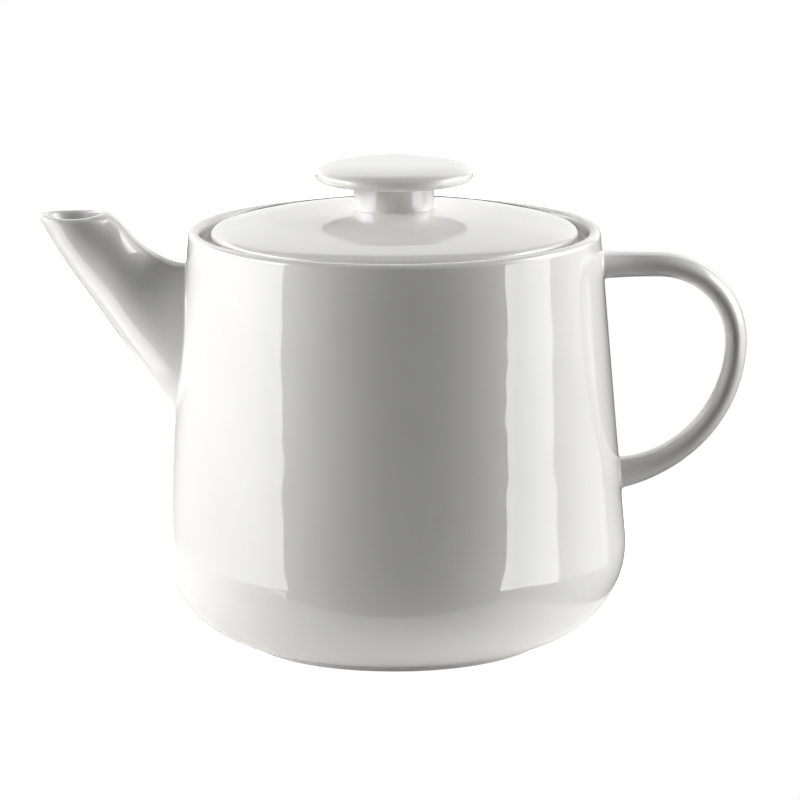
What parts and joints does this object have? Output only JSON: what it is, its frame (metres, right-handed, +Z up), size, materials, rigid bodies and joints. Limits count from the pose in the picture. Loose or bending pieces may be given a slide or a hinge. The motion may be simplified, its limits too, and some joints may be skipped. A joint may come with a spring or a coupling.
{
  "type": "teapot",
  "caption": "Glazed porcelain teapot with a tapering pot, straight-backed spout, loop handle and a loose domed lid with a flat mushroom knob",
  "frame": {"origin": "centre of the foot ring, on the table", "axes": "+Z up along the pot's axis, +X towards the handle with the spout at -X, +Y away from the side that the picture shows"},
  "size_m": [0.2128, 0.14, 0.1465],
  "materials": {
    "glazed_porcelain": "clear gloss glaze over white porcelain",
    "slip_joint": "fired slip under the same clear gloss glaze"
  },
  "bodies": {
    "pot": {"pot_body": "glazed_porcelain", "spout": "glazed_porcelain", "handle": "glazed_porcelain", "spout_luting": "slip_joint", "handle_upper_luting": "slip_joint", "handle_lower_luting": "slip_joint"},
    "lid": {"lid": "glazed_porcelain", "knob": "glazed_porcelain", "knob_luting": "slip_joint"}
  },
  "joints": [
    {"name": "lid_lift", "type": "slide", "parent": "pot", "child": "lid", "axis": [0, 0, 1], "range_m": [0, 0.08]}
  ]
}
